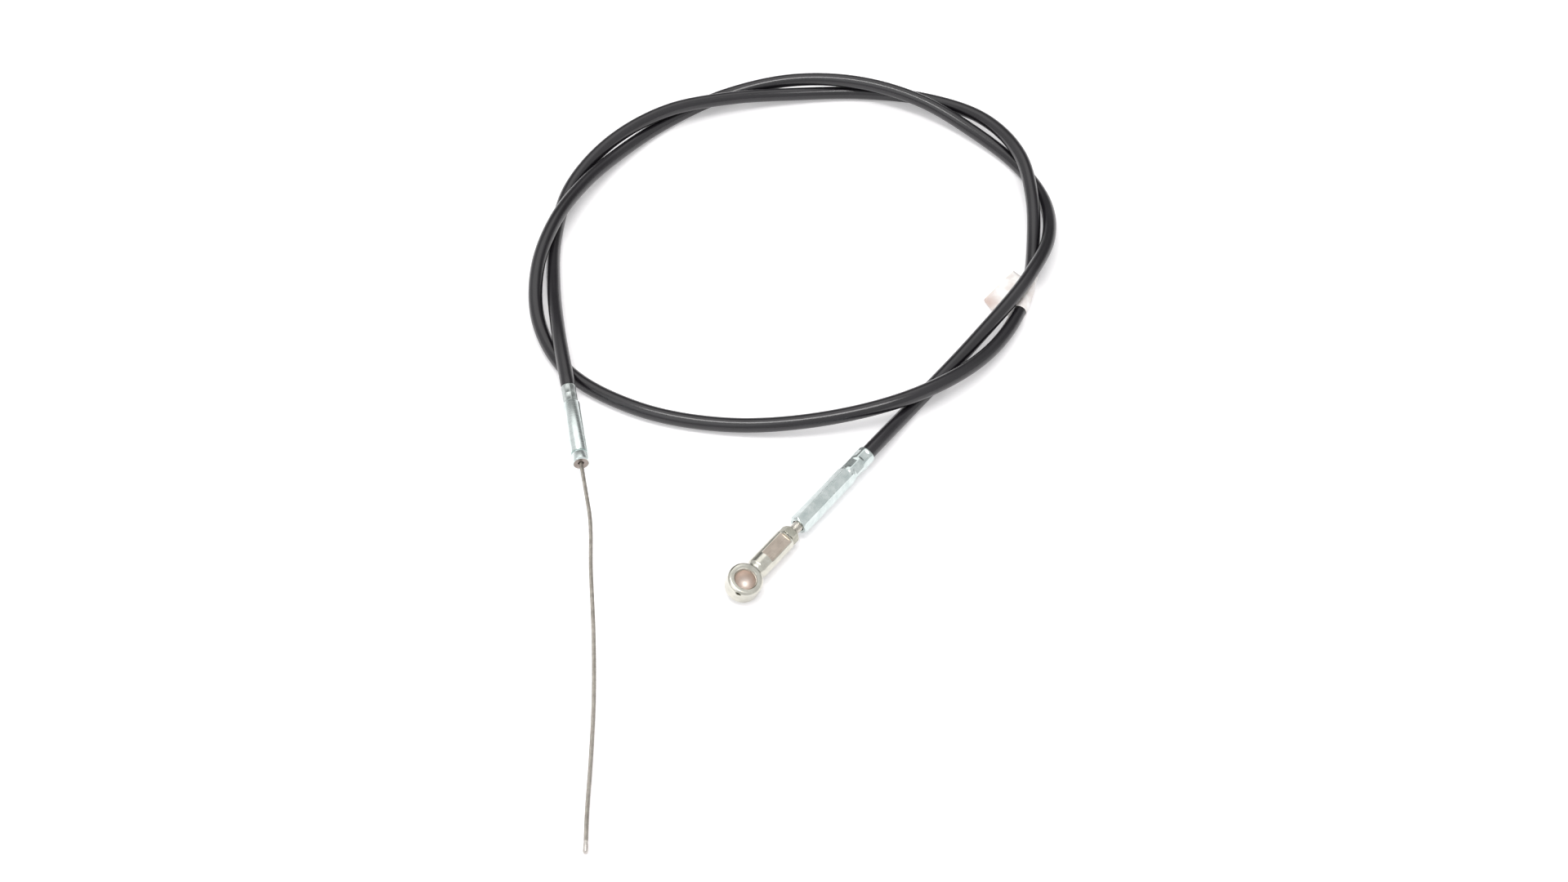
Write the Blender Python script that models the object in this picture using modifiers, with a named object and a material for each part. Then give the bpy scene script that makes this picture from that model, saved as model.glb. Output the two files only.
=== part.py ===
"""Throttle cable: a jacketed conduit lying in two loose turns, a hexagonal ferrule with a sliding
ball socket at the lever end, and a plain ferrule with a bare wire at the engine end.

Metres, +Z up. The cable rests on the plane z = 0. Each fitting is made along the X axis of an
empty that stands where the jacket meets the fitting, with X pointing away from the conduit.
"""

import bpy
import bmesh
from math import cos, pi, radians, sin
from mathutils import Matrix, Vector

MM = 0.001

# Clearances, and how far a cutter reaches past what it cuts
GAP = 0.30 * MM
LAYER_GAP = 0.25 * MM
OVERCUT = 1.0 * MM
MERGE_DISTANCE = 1e-7

# Cable, from the wire outwards
WIRE_DIAMETER = 1.8 * MM
LINER_WALL = 0.30 * MM
WINDING_WALL = 0.55 * MM
JACKET_WALL = 0.66 * MM
TIP_THICKENING = 0.15 * MM
TIP_LENGTH = 5.0 * MM
JACKET_SIDES = 12
INNER_SIDES = 8

# Distance that the wire travels, and how the bare wire starts
STROKE = 25.0 * MM
WIRE_START_DEPTH = 2.0 * MM
WIRE_STRAIGHT_SPARE = 2.0 * MM

# Engine-end ferrule
ENGINE_HEADING = 11.5
ENGINE_COLLAR_WALL = 0.66 * MM
ENGINE_COLLAR_LENGTH = 10.6 * MM
ENGINE_CONDUIT_DEPTH = 8.0 * MM
ENGINE_BARREL_STEP = 0.6 * MM
ENGINE_BARREL_LENGTH = 31.0 * MM
ENGINE_GROOVE_WIDTH = 1.0 * MM
ENGINE_GROOVE_DEPTH = 0.7 * MM
ENGINE_LAND_LENGTH = 4.9 * MM
ENGINE_CHAMFER = 0.5 * MM
ENGINE_MOUTH_DIAMETER = 3.0 * MM
WIRE_CLEARANCE = 0.35 * MM

# Lever-end ferrule
LEVER_HEADING = 37.5
LEVER_ROLL = 18.0
LEVER_COLLAR_WALL = 0.65 * MM
LEVER_COLLAR_LENGTH = 14.7 * MM
LEVER_COLLAR_CHAMFER = 0.3 * MM
COLLAR_FLAT_DEPTH = 0.22 * MM
COLLAR_SIDES = 8
JACKET_GRIP = 12.0 * MM
SHOULDER_LENGTH = 3.5 * MM
BARREL_FLATS = 8.3 * MM
BARREL_LENGTH = 37.7 * MM
BARREL_CHAMFER = 0.7 * MM
CORNER_SPARE = 0.05 * MM
HEX_SIDES = 6

# Pull rod, lock nut and ball socket
ROD_DIAMETER = 5.0 * MM
ROD_CHAMFER = 0.4 * MM
ROD_SHOWING = 4.7 * MM
NUT_FLATS = 8.0 * MM
NUT_THICKNESS = 4.0 * MM
NUT_CHAMFER = 0.4 * MM
SHANK_DIAMETER = 10.0 * MM
SHANK_LENGTH = 30.0 * MM
SHANK_CHAMFER = 0.6 * MM
NECK_TAPER = 1.8 * MM
NECK_SINK = 0.3 * MM
WRENCH_FLATS = 7.6 * MM
WRENCH_START = 1.0 * MM
WRENCH_LENGTH = 14.0 * MM
HEAD_DIAMETER = 15.8 * MM
HEAD_HEIGHT = 9.2 * MM
HEAD_CHAMFER = 0.9 * MM
BALL_DIAMETER = 10.0 * MM
BALL_CLEARANCE = 0.05 * MM
BALL_DEPTH = 2.3 * MM
MOUTH_DIAMETER = 9.6 * MM
MOUTH_CHAMFER = 0.5 * MM
RING_WIRE = 0.9 * MM
RING_DEPTH = 1.5 * MM
RING_SINK = 0.1 * MM
RING_OPENING = 24.0
SEAT_WEB = 1.6 * MM
CLIP_HOLE_WIDTH = 2.6 * MM
CLIP_HOLE_HEIGHT = 1.6 * MM
CLIP_HOLE_TURN = 15.0

# Label
LABEL_START = 532.0 * MM
LABEL_LENGTH = 26.0 * MM
LABEL_THICKNESS = 0.3 * MM
FLAG_THICKNESS = 0.35 * MM
FLAG_REACH = 19.3 * MM
FLAG_LEAN = 4.8 * MM
FLAG_CORNER = 6.0 * MM

# Middle line of the jacket as it lies, from the engine-end ferrule to the lever-end one, in mm
ROUTE = [
    (-108.5, 0.5, 11.3), (-116, 36, 10.8), (-122, 73.5, 6.4), (-124.5, 111.5, 3.7),
    (-119, 148, 5.6), (-99.5, 179.5, 9.5), (-70.5, 202.5, 11.6), (-35.5, 216.5, 9.1),
    (-0.5, 224.5, 5.3), (35.5, 227.5, 3.8), (72, 219.5, 5.7), (101.5, 199, 9.4),
    (119, 166.5, 11.6), (123, 135.5, 9.7), (121.5, 105.5, 5.8), (116.5, 75.5, 4.3),
    (94, 28.5, 7.2), (55, -4.5, 11.5), (11.5, -16.5, 8.3), (-34.5, -16.5, 4.2),
    (-77.5, -5.5, 3.8), (-113.5, 21, 3.7), (-127.5, 49.5, 5.5), (-130.5, 82.5, 9.8),
    (-124.5, 114, 11.7), (-112, 146, 9.2), (-94, 176, 5.4), (-71.5, 202, 3.7),
    (-38.5, 223.5, 5.7), (-1.5, 231, 9.9), (36.5, 226.5, 11.5), (69, 213.5, 9.5),
    (96.5, 192.5, 5.5), (119, 166, 3.7), (130, 136.5, 5.5), (128.5, 103.5, 9.9),
    (116, 74.5, 12.3), (86.5, 34, 8.0), (54, -5.5, 3.8), (31.6, -36.7, 6.7),
]

# Middle line of the bare wire after its straight stretch, in mm
BARE_ROUTE = [
    (-90.6, -105.4, 9.3), (-87.5, -137.4, 6.2), (-85.6, -168, 3.5),
    (-85.1, -197.7, 1.6), (-85, -219.5, 1.15), (-84.6, -230, 1.15),
]

# How finely the curved shapes are divided
ROUTE_POINTS = 80
BARE_POINTS = 40
CURVE_STEPS = 24
TURN_STEPS = 24
FINE_TURN_STEPS = 32
HEAD_TURN_STEPS = 40
TIP_TURN_STEPS = 12
SEAT_STEPS = 8
RING_POINTS = 33
LABEL_SIDES = 16


def direction(heading, away_from_x):
    """Level unit vector at an angle from -Y, towards +X or -X."""
    side = -1.0 if away_from_x else 1.0
    return Vector((side * sin(radians(heading)), -cos(radians(heading)), 0.0))


ENGINE_OUT = direction(ENGINE_HEADING, False)
LEVER_OUT = direction(LEVER_HEADING, True)


def corner(flat, sides):
    """Radius at the corners of a regular shape whose flats lie at the given distance."""
    return flat / cos(pi / sides)


WIRE_RADIUS = WIRE_DIAMETER / 2
TIP_RADIUS = WIRE_RADIUS + TIP_THICKENING
LINER_INSIDE = corner(WIRE_RADIUS + LAYER_GAP, INNER_SIDES)
LINER_OUTSIDE = LINER_INSIDE + LINER_WALL
WINDING_INSIDE = corner(LINER_OUTSIDE + LAYER_GAP, INNER_SIDES)
WINDING_OUTSIDE = WINDING_INSIDE + WINDING_WALL
JACKET_INSIDE = corner(WINDING_OUTSIDE + LAYER_GAP, JACKET_SIDES)
JACKET_OUTSIDE = JACKET_INSIDE + JACKET_WALL

# Places along the engine-end ferrule, measured outwards from its collar's mouth
ENGINE_COLLAR_RADIUS = WINDING_OUTSIDE + GAP + ENGINE_COLLAR_WALL
ENGINE_BARREL_RADIUS = ENGINE_COLLAR_RADIUS + ENGINE_BARREL_STEP
ENGINE_GROOVE_START = ENGINE_COLLAR_LENGTH + ENGINE_BARREL_LENGTH
ENGINE_LAND_START = ENGINE_GROOVE_START + ENGINE_GROOVE_WIDTH
ENGINE_NOSE = ENGINE_LAND_START + ENGINE_LAND_LENGTH
WIRE_START = ENGINE_NOSE - WIRE_START_DEPTH
WIRE_STRAIGHT = STROKE + WIRE_STRAIGHT_SPARE

# Places along the lever-end fitting, measured outwards from its collar's mouth
JACKET_HOLE_RADIUS = JACKET_OUTSIDE + GAP
LEVER_COLLAR_RADIUS = JACKET_HOLE_RADIUS + LEVER_COLLAR_WALL
SHOULDER_START = JACKET_GRIP + GAP
SHOULDER_END = SHOULDER_START + SHOULDER_LENGTH
ROD_RADIUS = ROD_DIAMETER / 2
ROD_HOLE_RADIUS = ROD_RADIUS + GAP
ROD_TAIL = SHOULDER_END + GAP
BARREL_END = LEVER_COLLAR_LENGTH + BARREL_LENGTH
NUT_START = BARREL_END + ROD_SHOWING
SHANK_START = NUT_START + NUT_THICKNESS + GAP
HEAD_CENTRE = SHANK_START + SHANK_LENGTH

# Heights in the socket's head, measured from the middle of the shank
HEAD_TOP = HEAD_HEIGHT / 2
NECK_RADIUS = HEAD_TOP - NECK_SINK
BALL_RADIUS = BALL_DIAMETER / 2 + BALL_CLEARANCE
BALL_CENTRE = HEAD_TOP - BALL_DEPTH
ROD_END = HEAD_CENTRE - BALL_RADIUS - SEAT_WEB
RING_RADIUS = MOUTH_DIAMETER / 2 + RING_SINK
RING_HEIGHT = HEAD_TOP - RING_DEPTH


def clear_scene():
    for item in list(bpy.data.objects):
        bpy.data.objects.remove(item, do_unlink=True)


def make_collection(name):
    found = bpy.data.collections.new(name)
    bpy.context.scene.collection.children.link(found)
    return found


def material(name, colour, roughness, metallic):
    made = bpy.data.materials.new(name)
    made.use_nodes = True
    shader = made.node_tree.nodes["Principled BSDF"]
    shader.inputs["Base Color"].default_value = (*colour, 1.0)
    shader.inputs["Roughness"].default_value = roughness
    shader.inputs["Metallic"].default_value = metallic
    made.diffuse_color = (*colour, 1.0)
    return made


# Curves

def smooth_line(points, first, last, steps):
    """Smooth curve through the points, leaving and arriving in the given directions."""
    gaps = [(b - a).length for a, b in zip(points, points[1:])]
    heading = [first]
    for i in range(1, len(points) - 1):
        before, after = gaps[i - 1], gaps[i]
        back = (points[i] - points[i - 1]) / before
        ahead = (points[i + 1] - points[i]) / after
        heading.append((back * after + ahead * before) / (before + after))
    heading.append(last)
    line = []
    for i, gap in enumerate(gaps):
        for k in range(steps):
            u = k / steps
            line.append(
                points[i] * (2 * u**3 - 3 * u**2 + 1)
                + heading[i] * (gap * (u**3 - 2 * u**2 + u))
                + points[i + 1] * (3 * u**2 - 2 * u**3)
                + heading[i + 1] * (gap * (u**3 - u**2))
            )
    line.append(points[-1].copy())
    return line


def running_lengths(line):
    lengths = [0.0]
    for a, b in zip(line, line[1:]):
        lengths.append(lengths[-1] + (b - a).length)
    return lengths


def stretch(line, start, end, count):
    """Evenly spaced points of the line between two distances along it."""
    lengths = running_lengths(line)
    picked = []
    i = 0
    for k in range(count):
        target = start + (end - start) * k / (count - 1)
        while i < len(line) - 2 and lengths[i + 1] < target:
            i += 1
        share = (target - lengths[i]) / (lengths[i + 1] - lengths[i])
        picked.append(line[i].lerp(line[i + 1], share))
    return picked


def part_of(line, start, end):
    """The line's own corners between two distances along it, with its points at both."""
    lengths = running_lengths(line)
    first, last = stretch(line, start, end, 2)
    inner = [p for p, length in zip(line, lengths) if start + GAP < length < end - GAP]
    return [first] + inner + [last]


def in_metres(points):
    return [Vector(p) * MM for p in points]


def conduit_line():
    return smooth_line(in_metres(ROUTE), -ENGINE_OUT, LEVER_OUT, CURVE_STEPS)


def tube_points(line, engine_depth, lever_depth):
    """The conduit's own points, with a straight stretch into each fitting."""
    total = running_lengths(line)[-1]
    if engine_depth > 0:
        points = stretch(line, 0.0, total, ROUTE_POINTS)
        points.insert(0, line[0] + ENGINE_OUT * engine_depth)
    else:
        points = stretch(line, -engine_depth, total, ROUTE_POINTS)
    points.append(line[-1] + LEVER_OUT * lever_depth)
    return points


def curve_object(name, points, radius, sides, closed_ends):
    data = bpy.data.curves.new(name, "CURVE")
    data.dimensions = "3D"
    data.twist_mode = "MINIMUM"
    spline = data.splines.new("POLY")
    spline.points.add(len(points) - 1)
    for slot, point in zip(spline.points, points):
        slot.co = (*point, 1.0)
    data.bevel_depth = radius
    data.bevel_resolution = sides // 2 - 2
    data.use_fill_caps = closed_ends
    made = bpy.data.objects.new(name, data)
    parts.objects.link(made)
    return made


def hollow_tube(name, points, outside, inside, sides):
    made = curve_object(name, points, outside, sides, False)
    wall = made.modifiers.new("wall", "SOLIDIFY")
    wall.thickness = outside - inside
    wall.offset = -1.0
    wall.use_rim = True
    return made


# Solids along a fitting's X axis

def place(made, frame):
    made.parent = frame
    return made


def turned(name, profile, steps, collection):
    """Solid of revolution about X. The profile runs (x, radius), in the order of falling x on the
    outer side, and is closed if its ends don't lie on the axis."""
    mesh = bpy.data.meshes.new(name)
    made = bpy.data.objects.new(name, mesh)
    collection.objects.link(made)
    work = bmesh.new()
    spots = [work.verts.new((radius, 0.0, x)) for x, radius in profile]
    for a, b in zip(spots, spots[1:]):
        work.edges.new((a, b))
    if profile[0][1] > MERGE_DISTANCE:
        work.edges.new((spots[-1], spots[0]))
    work.to_mesh(mesh)
    work.free()
    screw = made.modifiers.new("turn", "SCREW")
    screw.axis = "Z"
    screw.angle = 2 * pi
    screw.steps = steps
    screw.render_steps = steps
    screw.use_merge_vertices = True
    screw.merge_threshold = MERGE_DISTANCE
    screw.use_smooth_shade = True
    baked = bpy.data.meshes.new_from_object(
        made.evaluated_get(bpy.context.evaluated_depsgraph_get())
    )
    baked.transform(Matrix.Rotation(radians(90), 4, "Y"))
    made.modifiers.clear()
    made.data = baked
    baked.name = name
    return made


def prism(name, sides, across_flats, start, end, collection):
    """Regular prism along X with a flat facing +Z."""
    mesh = bpy.data.meshes.new(name)
    work = bmesh.new()
    bmesh.ops.create_cone(
        work, cap_ends=True, segments=sides, radius1=corner(across_flats / 2, sides),
        radius2=corner(across_flats / 2, sides), depth=end - start,
    )
    work.to_mesh(mesh)
    work.free()
    turn = Matrix.Rotation(pi / sides, 4, "Z")
    lay = Matrix.Rotation(radians(90), 4, "Y")
    mesh.transform(Matrix.Translation(((start + end) / 2, 0, 0)) @ lay @ turn)
    made = bpy.data.objects.new(name, mesh)
    collection.objects.link(made)
    return made


def block(name, size, centre, collection, turn=None):
    mesh = bpy.data.meshes.new(name)
    work = bmesh.new()
    bmesh.ops.create_cube(work, size=1.0)
    bmesh.ops.scale(work, vec=size, verts=work.verts)
    bmesh.ops.translate(work, vec=centre, verts=work.verts)
    work.to_mesh(mesh)
    work.free()
    if turn is not None:
        mesh.transform(turn)
    made = bpy.data.objects.new(name, mesh)
    collection.objects.link(made)
    return made


def hide(cutter):
    cutter.hide_render = True
    cutter.display_type = "WIRE"


def combine(made, cutter, operation):
    step = made.modifiers.new(operation.lower(), "BOOLEAN")
    step.operation = operation
    step.solver = "EXACT"
    step.object = cutter
    hide(cutter)
    return made


def round_shading(made):
    for polygon in made.data.polygons:
        polygon.use_smooth = True
    made.data.set_sharp_from_angle(angle=radians(30))


def cone_ends(start, end, radius, chamfer):
    """Profile of a bar from x = start to x = end with both ends chamfered."""
    return [
        (end, 0.0), (end, radius - chamfer), (end - chamfer, radius),
        (start + chamfer, radius), (start, radius - chamfer), (start, 0.0),
    ]


def plain_bar(start, end, radius):
    """Profile of a bar from x = start to x = end with square ends."""
    return [(end, 0.0), (end, radius), (start, radius), (start, 0.0)]


# The pieces

def make_conduit(line):
    jacket = hollow_tube(
        "outer_jacket", tube_points(line, -GAP, JACKET_GRIP),
        JACKET_OUTSIDE, JACKET_INSIDE, JACKET_SIDES,
    )
    winding = hollow_tube(
        "conduit_winding", tube_points(line, ENGINE_CONDUIT_DEPTH, JACKET_GRIP),
        WINDING_OUTSIDE, WINDING_INSIDE, INNER_SIDES,
    )
    liner = hollow_tube(
        "conduit_liner", tube_points(line, ENGINE_CONDUIT_DEPTH, JACKET_GRIP),
        LINER_OUTSIDE, LINER_INSIDE, INNER_SIDES,
    )
    wire = curve_object(
        "inner_wire", tube_points(line, WIRE_START - GAP, ROD_TAIL - GAP),
        WIRE_RADIUS, INNER_SIDES, True,
    )
    jacket.data.materials.append(material("jacket_plastic", (0.07, 0.065, 0.072), 0.42, 0.0))
    winding.data.materials.append(material("winding_steel", (0.45, 0.45, 0.44), 0.40, 1.0))
    liner.data.materials.append(material("liner_plastic", (0.80, 0.80, 0.76), 0.45, 0.0))
    wire.data.materials.append(material("inner_wire_steel", (0.48, 0.46, 0.43), 0.35, 1.0))


def make_engine_ferrule():
    body = ENGINE_BARREL_RADIUS
    hole = WIRE_RADIUS + WIRE_CLEARANCE
    mouth = ENGINE_MOUTH_DIAMETER / 2
    conduit = WINDING_OUTSIDE + GAP
    profile = [
        (ENGINE_NOSE, mouth),
        (ENGINE_NOSE, body - ENGINE_CHAMFER),
        (ENGINE_NOSE - ENGINE_CHAMFER, body),
        (ENGINE_LAND_START, body),
        (ENGINE_LAND_START, body - ENGINE_GROOVE_DEPTH),
        (ENGINE_GROOVE_START, body - ENGINE_GROOVE_DEPTH),
        (ENGINE_GROOVE_START, body),
        (ENGINE_COLLAR_LENGTH + ENGINE_BARREL_STEP, body),
        (ENGINE_COLLAR_LENGTH, ENGINE_COLLAR_RADIUS),
        (0.0, ENGINE_COLLAR_RADIUS),
        (0.0, conduit),
        (ENGINE_CONDUIT_DEPTH + GAP, conduit),
        (ENGINE_CONDUIT_DEPTH + GAP, hole),
        (ENGINE_NOSE - (mouth - hole), hole),
    ]
    ferrule = place(turned("engine_ferrule", profile, TURN_STEPS, parts), engine_frame)
    ferrule.data.materials.append(material("engine_zinc", (0.60, 0.64, 0.62), 0.32, 1.0))
    round_shading(ferrule)


def make_bare_wire():
    start = engine_frame.matrix_world @ Vector((WIRE_START, 0, 0))
    leave = engine_frame.matrix_world @ Vector((ENGINE_NOSE + WIRE_STRAIGHT, 0, 0))
    points = in_metres(BARE_ROUTE)
    last = (points[-1] - points[-2]).normalized()
    line = smooth_line([leave] + points, ENGINE_OUT, last, CURVE_STEPS)
    total = running_lengths(line)[-1]
    path = [start] + stretch(line, 0.0, total, BARE_POINTS)
    wire = curve_object("bare_wire", path, WIRE_RADIUS, INNER_SIDES, True)
    wire.data.materials.append(material("bare_wire_steel", (0.48, 0.45, 0.43), 0.38, 1.0))
    frame = Matrix.Translation(path[-1]) @ last.to_track_quat("X", "Z").to_matrix().to_4x4()
    tip = turned(
        "wire_tip", cone_ends(GAP, GAP + TIP_LENGTH, TIP_RADIUS, TIP_THICKENING),
        TIP_TURN_STEPS, parts,
    )
    tip.data.transform(frame)
    tip.data.materials.append(material("wire_tip_steel", (0.62, 0.60, 0.58), 0.35, 1.0))
    round_shading(tip)
    for made in (wire, tip):
        keep_origin(made, engine_frame)


def keep_origin(made, frame):
    """Puts the object's origin on the frame without moving its shape."""
    made.data.transform(frame.matrix_world.inverted())
    made.parent = frame


def make_lever_ferrule():
    ferrule = place(
        prism("lever_ferrule", HEX_SIDES, BARREL_FLATS, LEVER_COLLAR_LENGTH - OVERCUT,
              BARREL_END, parts),
        lever_frame,
    )
    outside = corner(BARREL_FLATS / 2, HEX_SIDES)
    profile = cone_ends(0.0, BARREL_END, outside + CORNER_SPARE, BARREL_CHAMFER)
    rounder = place(turned("barrel_rounding", profile, FINE_TURN_STEPS, cutters), lever_frame)
    combine(ferrule, rounder, "INTERSECT")
    grip_profile = cone_ends(
        0.0, LEVER_COLLAR_LENGTH, LEVER_COLLAR_RADIUS, LEVER_COLLAR_CHAMFER
    )
    grip = place(turned("collar_body", grip_profile, FINE_TURN_STEPS, cutters), lever_frame)
    crimp = place(
        prism("collar_crimp", COLLAR_SIDES, 2 * (LEVER_COLLAR_RADIUS - COLLAR_FLAT_DEPTH),
              -OVERCUT, LEVER_COLLAR_LENGTH + OVERCUT, cutters),
        lever_frame,
    )
    combine(grip, crimp, "INTERSECT")
    combine(ferrule, grip, "UNION")
    web = WIRE_RADIUS + WIRE_CLEARANCE
    bore = [
        (BARREL_END + OVERCUT, 0.0), (BARREL_END + OVERCUT, ROD_HOLE_RADIUS),
        (SHOULDER_END, ROD_HOLE_RADIUS), (SHOULDER_END, web), (SHOULDER_START, web),
        (SHOULDER_START, JACKET_HOLE_RADIUS), (-OVERCUT, JACKET_HOLE_RADIUS), (-OVERCUT, 0.0),
    ]
    bore_cutter = turned("lever_bore", bore, FINE_TURN_STEPS, cutters)
    combine(ferrule, place(bore_cutter, lever_frame), "DIFFERENCE")
    ferrule.data.materials.append(material("lever_zinc", (0.55, 0.62, 0.60), 0.30, 1.0))


def make_rod_and_nut():
    rod = place(
        turned("pull_rod", cone_ends(ROD_TAIL, ROD_END, ROD_RADIUS, ROD_CHAMFER), TURN_STEPS,
               parts),
        lever_frame,
    )
    rod.data.materials.append(material("rod_steel", (0.60, 0.59, 0.55), 0.33, 1.0))
    round_shading(rod)
    nut_end = NUT_START + NUT_THICKNESS
    nut = place(prism("lock_nut", HEX_SIDES, NUT_FLATS, NUT_START, nut_end, parts), lever_frame)
    outside = corner(NUT_FLATS / 2, HEX_SIDES)
    rounder = turned(
        "nut_rounding", cone_ends(NUT_START, nut_end, outside + CORNER_SPARE, NUT_CHAMFER),
        FINE_TURN_STEPS, cutters,
    )
    combine(nut, place(rounder, lever_frame), "INTERSECT")
    hole = plain_bar(NUT_START - OVERCUT, nut_end + OVERCUT, ROD_HOLE_RADIUS)
    combine(nut, place(turned("nut_hole", hole, TURN_STEPS, cutters), lever_frame), "DIFFERENCE")
    nut.data.materials.append(material("nut_steel", (0.42, 0.42, 0.34), 0.40, 1.0))


def upright(made):
    """Stands a shape that was turned about X on the head's own axis."""
    made.data.transform(
        Matrix.Translation((HEAD_CENTRE, 0, 0)) @ Matrix.Rotation(radians(-90), 4, "Y")
    )
    return place(made, lever_frame)


def make_socket():
    socket = upright(
        turned("ball_socket", cone_ends(-HEAD_TOP, HEAD_TOP, HEAD_DIAMETER / 2, HEAD_CHAMFER),
               HEAD_TURN_STEPS, parts)
    )
    neck_start = HEAD_CENTRE - HEAD_DIAMETER / 2
    shank_profile = [
        (HEAD_CENTRE, 0.0), (HEAD_CENTRE, NECK_RADIUS), (neck_start, NECK_RADIUS),
        (neck_start - NECK_TAPER, SHANK_DIAMETER / 2),
        (SHANK_START + SHANK_CHAMFER, SHANK_DIAMETER / 2),
        (SHANK_START, SHANK_DIAMETER / 2 - SHANK_CHAMFER), (SHANK_START, 0.0),
    ]
    shank = place(turned("shank", shank_profile, FINE_TURN_STEPS, cutters), lever_frame)
    for side in (1, -1):
        thick = SHANK_DIAMETER
        centre = (
            SHANK_START + WRENCH_START + WRENCH_LENGTH / 2, 0.0,
            side * (WRENCH_FLATS / 2 + thick / 2),
        )
        size = (WRENCH_LENGTH, 2 * thick, thick)
        combine(shank, place(block("wrench_flat", size, centre, cutters), lever_frame),
                "DIFFERENCE")
    combine(socket, shank, "UNION")
    rod_space = plain_bar(SHANK_START - OVERCUT, ROD_END + GAP, ROD_HOLE_RADIUS)
    rod_hole = place(turned("rod_hole", rod_space, TURN_STEPS, cutters), lever_frame)
    combine(socket, rod_hole, "DIFFERENCE")
    seat = upright(turned("ball_seat", seat_profile(), FINE_TURN_STEPS, cutters))
    combine(socket, seat, "DIFFERENCE")
    clip = block(
        "clip_hole", (HEAD_DIAMETER / 2, CLIP_HOLE_WIDTH, CLIP_HOLE_HEIGHT),
        (HEAD_DIAMETER / 2, 0.0, RING_HEIGHT), cutters,
        Matrix.Translation((HEAD_CENTRE, 0, 0))
        @ Matrix.Rotation(radians(CLIP_HOLE_TURN), 4, "Z"),
    )
    combine(socket, place(clip, lever_frame), "DIFFERENCE")
    socket.data.materials.append(material("socket_steel", (0.56, 0.56, 0.50), 0.30, 1.0))
    ring = ring_object()
    ring.data.materials.append(material("ring_steel", (0.50, 0.46, 0.40), 0.30, 1.0))


def seat_profile():
    """The hollow of the socket, from above the mouth down to the bottom of the ball seat."""
    mouth = MOUTH_DIAMETER / 2
    groove = RING_RADIUS + RING_WIRE / 2 + GAP
    half = RING_WIRE / 2 + GAP
    profile = [
        (HEAD_TOP + OVERCUT, 0.0),
        (HEAD_TOP + OVERCUT, mouth + MOUTH_CHAMFER + OVERCUT),
        (HEAD_TOP - MOUTH_CHAMFER, mouth),
        (RING_HEIGHT + half, mouth),
        (RING_HEIGHT + half, groove),
        (RING_HEIGHT - half, groove),
    ]
    low = RING_HEIGHT - half - BALL_CENTRE
    for k in range(SEAT_STEPS + 1):
        height = low + (-BALL_RADIUS - low) * k / SEAT_STEPS
        radius = (max(BALL_RADIUS**2 - height**2, 0.0)) ** 0.5
        profile.append((BALL_CENTRE + height, 0.0 if k == SEAT_STEPS else radius))
    return profile


def ring_object():
    mesh = bpy.data.meshes.new("snap_ring")
    ring = bpy.data.objects.new("snap_ring", mesh)
    parts.objects.link(ring)
    data = bpy.data.curves.new("snap_ring_line", "CURVE")
    data.dimensions = "3D"
    spline = data.splines.new("POLY")
    opening = radians(RING_OPENING)
    spline.points.add(RING_POINTS - 1)
    for k in range(RING_POINTS):
        share = k / (RING_POINTS - 1)
        angle = radians(CLIP_HOLE_TURN) + opening / 2 + (2 * pi - opening) * share
        spline.points[k].co = (
            HEAD_CENTRE + RING_RADIUS * cos(angle), RING_RADIUS * sin(angle), RING_HEIGHT, 1.0
        )
    data.bevel_depth = RING_WIRE / 2
    data.bevel_resolution = 2
    data.use_fill_caps = True
    guide = bpy.data.objects.new("snap_ring_line", data)
    cutters.objects.link(guide)
    bpy.context.view_layer.update()
    shape = bpy.data.meshes.new_from_object(
        guide.evaluated_get(bpy.context.evaluated_depsgraph_get())
    )
    work = bmesh.new()
    work.from_mesh(shape)
    bmesh.ops.remove_doubles(work, verts=work.verts, dist=MERGE_DISTANCE)
    work.to_mesh(mesh)
    work.free()
    bpy.data.objects.remove(guide)
    return place(ring, lever_frame)


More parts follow.
